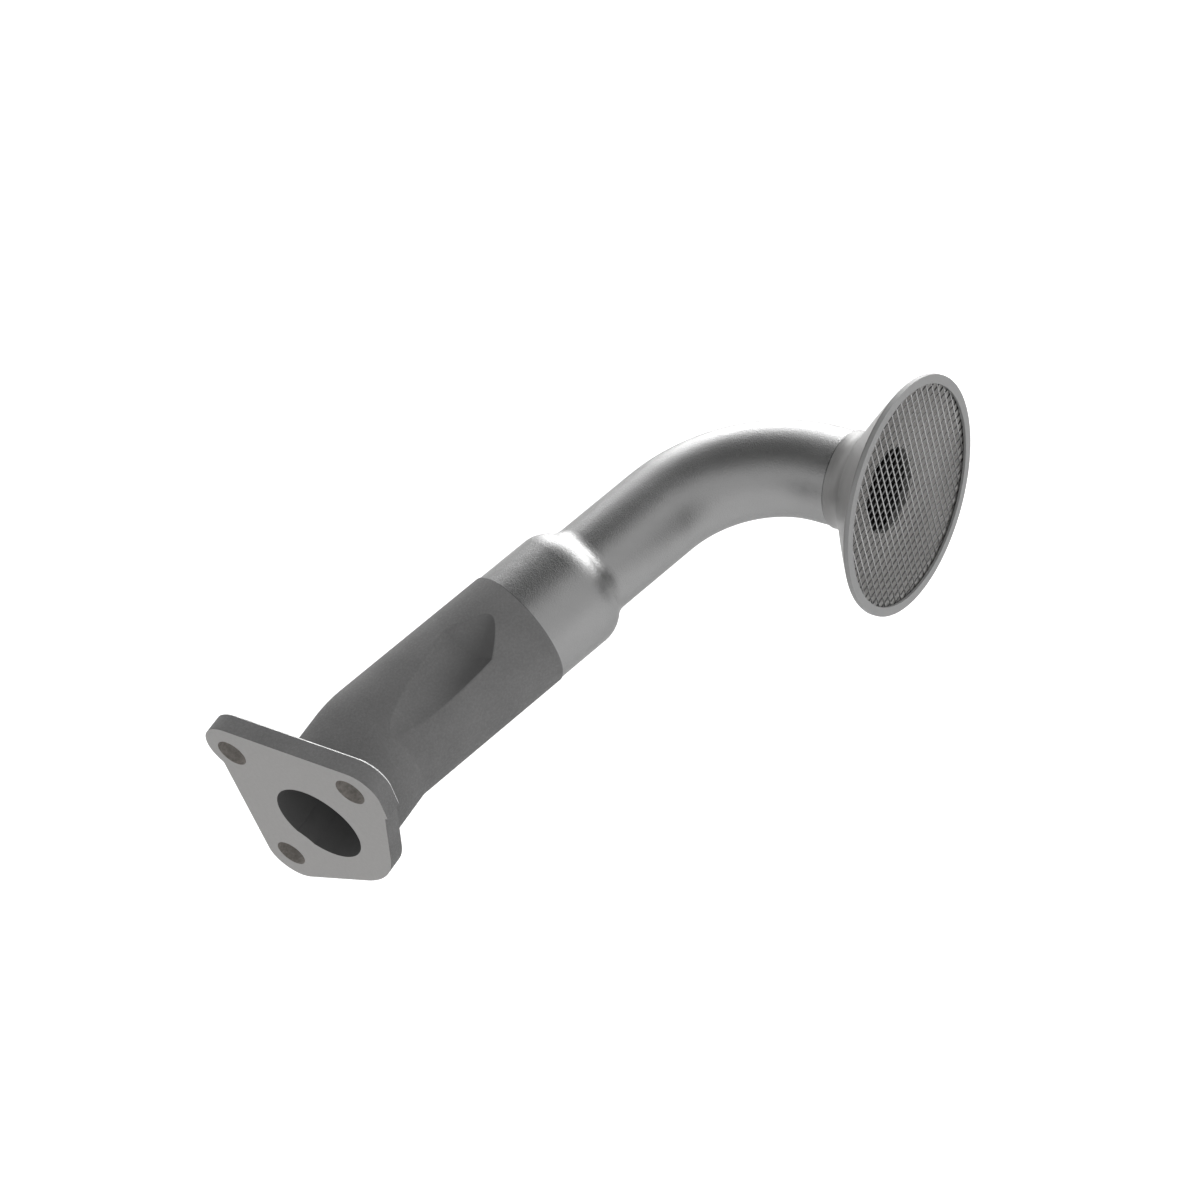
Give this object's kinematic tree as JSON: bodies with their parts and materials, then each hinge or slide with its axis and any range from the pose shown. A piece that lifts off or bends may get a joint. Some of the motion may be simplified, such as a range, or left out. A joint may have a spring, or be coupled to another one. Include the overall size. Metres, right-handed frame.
{
  "type": "oil pickup tube",
  "caption": "Bent oil pickup tube: a flanged cast elbow with bolt clearance scoops, a swaged steel tube and a bell-shaped strainer with a wire mesh screen.",
  "frame": {"origin": "centre of the oil port, on the flange's mating face", "axes": "+X runs square from the mating face into the pipe; -Y is the way the strainer's mouth faces; +Z is square to the plane that both bends lie in, on the side of the flange's straight top edge"},
  "size_m": [0.1939, 0.1266, 0.069],
  "materials": {
    "casting": "sand cast, matte, with a machined mating face",
    "tube": "satin, drawn",
    "bell": "fine turned",
    "screen": "bright wire",
    "ring": "satin, pressed"
  },
  "bodies": {
    "root": {"flange_casting": "casting", "upper_tube": "tube", "strainer_bell": "bell", "strainer_screen": "screen", "screen_retaining_ring": "ring"}
  },
  "joints": []
}
